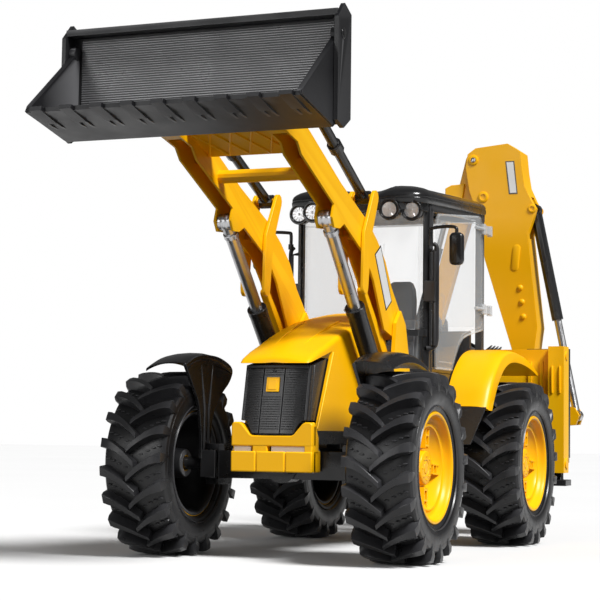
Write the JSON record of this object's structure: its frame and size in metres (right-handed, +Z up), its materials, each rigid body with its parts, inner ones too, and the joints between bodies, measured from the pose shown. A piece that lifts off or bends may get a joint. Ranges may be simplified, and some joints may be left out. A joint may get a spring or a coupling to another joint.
{
  "type": "toy backhoe loader",
  "caption": "Toy backhoe loader with a raised opening front bucket, steered front axle, glazed cab and a side-shifting rear digger arm.",
  "frame": {"origin": "centre of the bounding box's base, on the floor", "axes": "+X the vehicle's left, -Y its front, +Z up"},
  "size_m": [0.1988, 0.5414, 0.308],
  "materials": {
    "yellow_plastic": "glossy moulded plastic",
    "black_plastic": "satin moulded plastic",
    "black_rubber": "matt soft plastic",
    "plated_rod": "bright silver plating",
    "grey_plastic": "matt moulded plastic",
    "clear_plastic": "clear polished plastic"
  },
  "bodies": {
    "chassis": {"chassis_frame": "black_plastic", "rear_axle": "black_plastic", "front_bumper": "yellow_plastic", "front_grille": "black_plastic", "engine_block": "grey_plastic", "loader_towers": "yellow_plastic", "cab_tub": "black_plastic", "cab_frame": "black_plastic", "cab_roof": "black_plastic", "cab_glazing": "clear_plastic", "seat": "black_plastic", "rear_fender_l": "yellow_plastic", "rear_fender_r": "yellow_plastic", "rear_frame": "yellow_plastic"},
    "front_axle": {"front_axle_beam": "black_plastic"},
    "tie_rod": {"tie_rod": "black_plastic"},
    "hood": {"hood": "yellow_plastic"},
    "steering_wheel": {"steering_wheel": "black_plastic"},
    "loader_arms": {"loader_arms": "yellow_plastic"},
    "bucket_back": {"bucket_back_blade": "black_plastic"},
    "bucket_clam": {"bucket_clam": "black_plastic"},
    "carriage": {"side_shift_carriage": "black_plastic"},
    "kingpost": {"kingpost": "yellow_plastic"},
    "boom": {"boom": "yellow_plastic"},
    "boom_ram_barrel": {"boom_ram_barrel": "black_plastic"},
    "boom_ram_rod": {"boom_ram_rod": "plated_rod"},
    "dipper": {"dipper": "yellow_plastic"},
    "dipper_ram_barrel": {"dipper_ram_barrel": "black_plastic"},
    "dipper_ram_rod": {"dipper_ram_rod": "plated_rod"},
    "digger_bucket": {"digger_bucket": "black_plastic"},
    "bucket_ram_rod": {"bucket_ram_rod": "plated_rod"},
    "bucket_ram_barrel": {"bucket_ram_barrel": "black_plastic"},
    "knuckle_l": {"steering_knuckle_l": "black_plastic"},
    "wheel_front_l": {"rim_front_l": "yellow_plastic", "tyre_front_l": "black_rubber"},
    "wheel_rear_l": {"rim_rear_l": "yellow_plastic", "tyre_rear_l": "black_rubber"},
    "door_l": {"door_l": "clear_plastic"},
    "mirror_l": {"mirror_l": "black_plastic"},
    "lift_barrel_l": {"lift_barrel_l": "black_plastic"},
    "lift_rod_l": {"lift_rod_l": "plated_rod"},
    "tilt_stay_l": {"tilt_stay_l": "yellow_plastic"},
    "bellcrank_l": {"bellcrank_l": "yellow_plastic"},
    "tilt_link_l": {"tilt_link_l": "black_plastic"},
    "stabiliser_l": {"stabiliser_leg_l": "black_plastic"},
    "knuckle_r": {"steering_knuckle_r": "black_plastic"},
    "wheel_front_r": {"rim_front_r": "yellow_plastic", "tyre_front_r": "black_rubber"},
    "wheel_rear_r": {"rim_rear_r": "yellow_plastic", "tyre_rear_r": "black_rubber"},
    "door_r": {"door_r": "clear_plastic"},
    "mirror_r": {"mirror_r": "black_plastic"},
    "lift_barrel_r": {"lift_barrel_r": "black_plastic"},
    "lift_rod_r": {"lift_rod_r": "plated_rod"},
    "tilt_stay_r": {"tilt_stay_r": "yellow_plastic"},
    "bellcrank_r": {"bellcrank_r": "yellow_plastic"},
    "tilt_link_r": {"tilt_link_r": "black_plastic"},
    "stabiliser_r": {"stabiliser_leg_r": "black_plastic"}
  },
  "joints": [
    {"name": "axle_swing", "type": "hinge", "parent": "chassis", "child": "front_axle", "pos_m": [0, -0.09075, 0.057], "axis": [0, 1, 0], "range_deg": [-3, 3]},
    {"name": "steer_left", "type": "hinge", "parent": "front_axle", "child": "knuckle_l", "pos_m": [0.05, -0.09075, 0.057], "axis": [0, 0, 1], "range_deg": [-12, 12]},
    {"name": "steer_right", "type": "hinge", "parent": "front_axle", "child": "knuckle_r", "pos_m": [-0.05, -0.09075, 0.057], "axis": [0, 0, 1], "range_deg": [-12, 12]},
    {"name": "tie_rod_shift", "type": "slide", "parent": "front_axle", "child": "tie_rod", "axis": [1, 0, 0], "range_m": [-0.0036, 0.0036]},
    {"name": "wheel_front_l_spin", "type": "hinge", "parent": "knuckle_l", "child": "wheel_front_l", "pos_m": [0.078, -0.09075, 0.057], "axis": [1, 0, 0], "continuous": true},
    {"name": "wheel_rear_l_spin", "type": "hinge", "parent": "chassis", "child": "wheel_rear_l", "pos_m": [0.078, 0.12725, 0.057], "axis": [1, 0, 0], "continuous": true},
    {"name": "wheel_front_r_spin", "type": "hinge", "parent": "knuckle_r", "child": "wheel_front_r", "pos_m": [-0.078, -0.09075, 0.057], "axis": [1, 0, 0], "continuous": true},
    {"name": "wheel_rear_r_spin", "type": "hinge", "parent": "chassis", "child": "wheel_rear_r", "pos_m": [-0.078, 0.12725, 0.057], "axis": [1, 0, 0], "continuous": true},
    {"name": "hood_hinge", "type": "hinge", "parent": "chassis", "child": "hood", "pos_m": [0, 0.00425, 0.15], "axis": [1, 0, 0], "range_deg": [-40, 0]},
    {"name": "door_l_hinge", "type": "hinge", "parent": "chassis", "child": "door_l", "pos_m": [0.0508, 0.16325, 0.17], "axis": [0, 0, 1], "range_deg": [0, 75]},
    {"name": "door_r_hinge", "type": "hinge", "parent": "chassis", "child": "door_r", "pos_m": [-0.0508, 0.16325, 0.17], "axis": [0, 0, 1], "range_deg": [-75, 0]},
    {"name": "mirror_l_hinge", "type": "hinge", "parent": "chassis", "child": "mirror_l", "pos_m": [0.0505, 0.03225, 0.21], "axis": [0, 0, 1], "range_deg": [-25, 25]},
    {"name": "mirror_r_hinge", "type": "hinge", "parent": "chassis", "child": "mirror_r", "pos_m": [-0.0505, 0.03225, 0.21], "axis": [0, 0, 1], "range_deg": [-25, 25]},
    {"name": "steering_wheel_turn", "type": "hinge", "parent": "chassis", "child": "steering_wheel", "pos_m": [0, 0.05485, 0.1456], "axis": [0, 0.7071, 0.7071], "range_deg": [-180, 180]},
    {"name": "loader_lift", "type": "hinge", "parent": "chassis", "child": "loader_arms", "pos_m": [0, -0.00075, 0.147], "axis": [1, 0, 0], "range_deg": [0, 56]},
    {"name": "lift_barrel_l_swing", "type": "hinge", "parent": "chassis", "child": "lift_barrel_l", "pos_m": [0.0332, -0.01475, 0.104], "axis": [1, 0, 0], "range_deg": [0, 56]},
    {"name": "lift_rod_l_slide", "type": "slide", "parent": "lift_barrel_l", "child": "lift_rod_l", "axis": [0, -0.687, 0.7266], "range_m": [-0.043, 0]},
    {"name": "tilt_stay_l_swing", "type": "hinge", "parent": "chassis", "child": "tilt_stay_l", "pos_m": [0.0332, 0.00125, 0.115], "axis": [1, 0, 0], "range_deg": [0, 40]},
    {"name": "lift_barrel_r_swing", "type": "hinge", "parent": "chassis", "child": "lift_barrel_r", "pos_m": [-0.0332, -0.01475, 0.104], "axis": [1, 0, 0], "range_deg": [0, 56]},
    {"name": "lift_rod_r_slide", "type": "slide", "parent": "lift_barrel_r", "child": "lift_rod_r", "axis": [0, -0.687, 0.7266], "range_m": [-0.043, 0]},
    {"name": "tilt_stay_r_swing", "type": "hinge", "parent": "chassis", "child": "tilt_stay_r", "pos_m": [-0.0332, 0.00125, 0.115], "axis": [1, 0, 0], "range_deg": [0, 40]},
    {"name": "bucket_tilt", "type": "hinge", "parent": "loader_arms", "child": "bucket_back", "pos_m": [0, -0.20075, 0.254], "axis": [1, 0, 0], "range_deg": [-20, 40]},
    {"name": "bellcrank_l_swing", "type": "hinge", "parent": "loader_arms", "child": "bellcrank_l", "pos_m": [0.0332, -0.06275, 0.199], "axis": [1, 0, 0], "range_deg": [-26, 50]},
    {"name": "tilt_link_l_swing", "type": "hinge", "parent": "bellcrank_l", "child": "tilt_link_l", "pos_m": [0.0332, -0.04875, 0.225], "axis": [1, 0, 0], "range_deg": [-45, 24]},
    {"name": "bellcrank_r_swing", "type": "hinge", "parent": "loader_arms", "child": "bellcrank_r", "pos_m": [-0.0332, -0.06275, 0.199], "axis": [1, 0, 0], "range_deg": [-26, 50]},
    {"name": "tilt_link_r_swing", "type": "hinge", "parent": "bellcrank_r", "child": "tilt_link_r", "pos_m": [-0.0332, -0.04875, 0.225], "axis": [1, 0, 0], "range_deg": [-45, 24]},
    {"name": "clam_hinge", "type": "hinge", "parent": "bucket_back", "child": "bucket_clam", "pos_m": [0, -0.21755, 0.291], "axis": [1, 0, 0], "range_deg": [-60, 0]},
    {"name": "stabiliser_l_slide", "type": "slide", "parent": "chassis", "child": "stabiliser_l", "axis": [0, 0, 1], "range_m": [-0.0375, 0]},
    {"name": "stabiliser_r_slide", "type": "slide", "parent": "chassis", "child": "stabiliser_r", "axis": [0, 0, 1], "range_m": [-0.0375, 0]},
    {"name": "side_shift", "type": "slide", "parent": "chassis", "child": "carriage", "axis": [1, 0, 0], "range_m": [-0.16, 0]},
    {"name": "digger_swing", "type": "hinge", "parent": "carriage", "child": "kingpost", "pos_m": [0.08, 0.25525, 0.08], "axis": [0, 0, 1], "range_deg": [-180, 0]},
    {"name": "boom_lift", "type": "hinge", "parent": "kingpost", "child": "boom", "pos_m": [0.0545, 0.25525, 0.118], "axis": [0, 1, 0], "range_deg": [-25, 0]},
    {"name": "boom_ram_swing", "type": "hinge", "parent": "boom", "child": "boom_ram_barrel", "pos_m": [0.062, 0.25525, 0.252], "axis": [0, 1, 0], "range_deg": [0, 6]},
    {"name": "boom_ram_slide", "type": "slide", "parent": "boom_ram_barrel", "child": "boom_ram_rod", "axis": [0.202, 0, -0.9794], "range_m": [0, 0.0132]},
    {"name": "dipper_reach", "type": "hinge", "parent": "boom", "child": "dipper", "pos_m": [0.0144, 0.25525, 0.292], "axis": [0, 1, 0], "range_deg": [0, 60]},
    {"name": "dipper_ram_swing", "type": "hinge", "parent": "boom", "child": "dipper_ram_barrel", "pos_m": [0.042, 0.25525, 0.172], "axis": [0, 1, 0], "range_deg": [-15, 0]},
    {"name": "dipper_ram_slide", "type": "slide", "parent": "dipper_ram_barrel", "child": "dipper_ram_rod", "axis": [-0.2828, 0, 0.9592], "range_m": [0, 0.0235]},
    {"name": "digger_bucket_curl", "type": "hinge", "parent": "dipper", "child": "digger_bucket", "pos_m": [-0.02, 0.25525, 0.166], "axis": [0, 1, 0], "range_deg": [0, 60]},
    {"name": "bucket_ram_swing", "type": "hinge", "parent": "dipper", "child": "bucket_ram_rod", "pos_m": [-0.0058, 0.25525, 0.268], "axis": [0, 1, 0], "range_deg": [-2, 3]},
    {"name": "bucket_ram_slide", "type": "slide", "parent": "bucket_ram_rod", "child": "bucket_ram_barrel", "axis": [0.2569, 0, 0.9664], "range_m": [0, 0.015]}
  ],
  "couplings": [
    {"joint": "steer_right", "follows": "steer_left", "ratio": 1},
    {"joint": "tie_rod_shift", "follows": "steer_left", "m_per_rad": -0.01655},
    {"joint": "lift_barrel_l_swing", "follows": "loader_lift", "ratio": 0.96},
    {"joint": "lift_rod_l_slide", "follows": "loader_lift", "m_per_rad": -0.0435},
    {"joint": "tilt_stay_l_swing", "follows": "loader_lift", "ratio": 0.6},
    {"joint": "lift_barrel_r_swing", "follows": "loader_lift", "ratio": 0.96},
    {"joint": "lift_rod_r_slide", "follows": "loader_lift", "m_per_rad": -0.0435},
    {"joint": "tilt_stay_r_swing", "follows": "loader_lift", "ratio": 0.6},
    {"joint": "bellcrank_l_swing", "follows": "bucket_tilt", "ratio": 1.21},
    {"joint": "tilt_link_l_swing", "follows": "bucket_tilt", "ratio": -1.11},
    {"joint": "bellcrank_r_swing", "follows": "bucket_tilt", "ratio": 1.21},
    {"joint": "tilt_link_r_swing", "follows": "bucket_tilt", "ratio": -1.11},
    {"joint": "boom_ram_swing", "follows": "boom_lift", "ratio": -0.226},
    {"joint": "boom_ram_slide", "follows": "boom_lift", "m_per_rad": -0.02925},
    {"joint": "dipper_ram_swing", "follows": "dipper_reach", "ratio": -0.24},
    {"joint": "dipper_ram_slide", "follows": "dipper_reach", "m_per_rad": 0.022},
    {"joint": "bucket_ram_swing", "follows": "digger_bucket_curl", "ratio": 0.02},
    {"joint": "bucket_ram_slide", "follows": "digger_bucket_curl", "m_per_rad": 0.014}
  ]
}
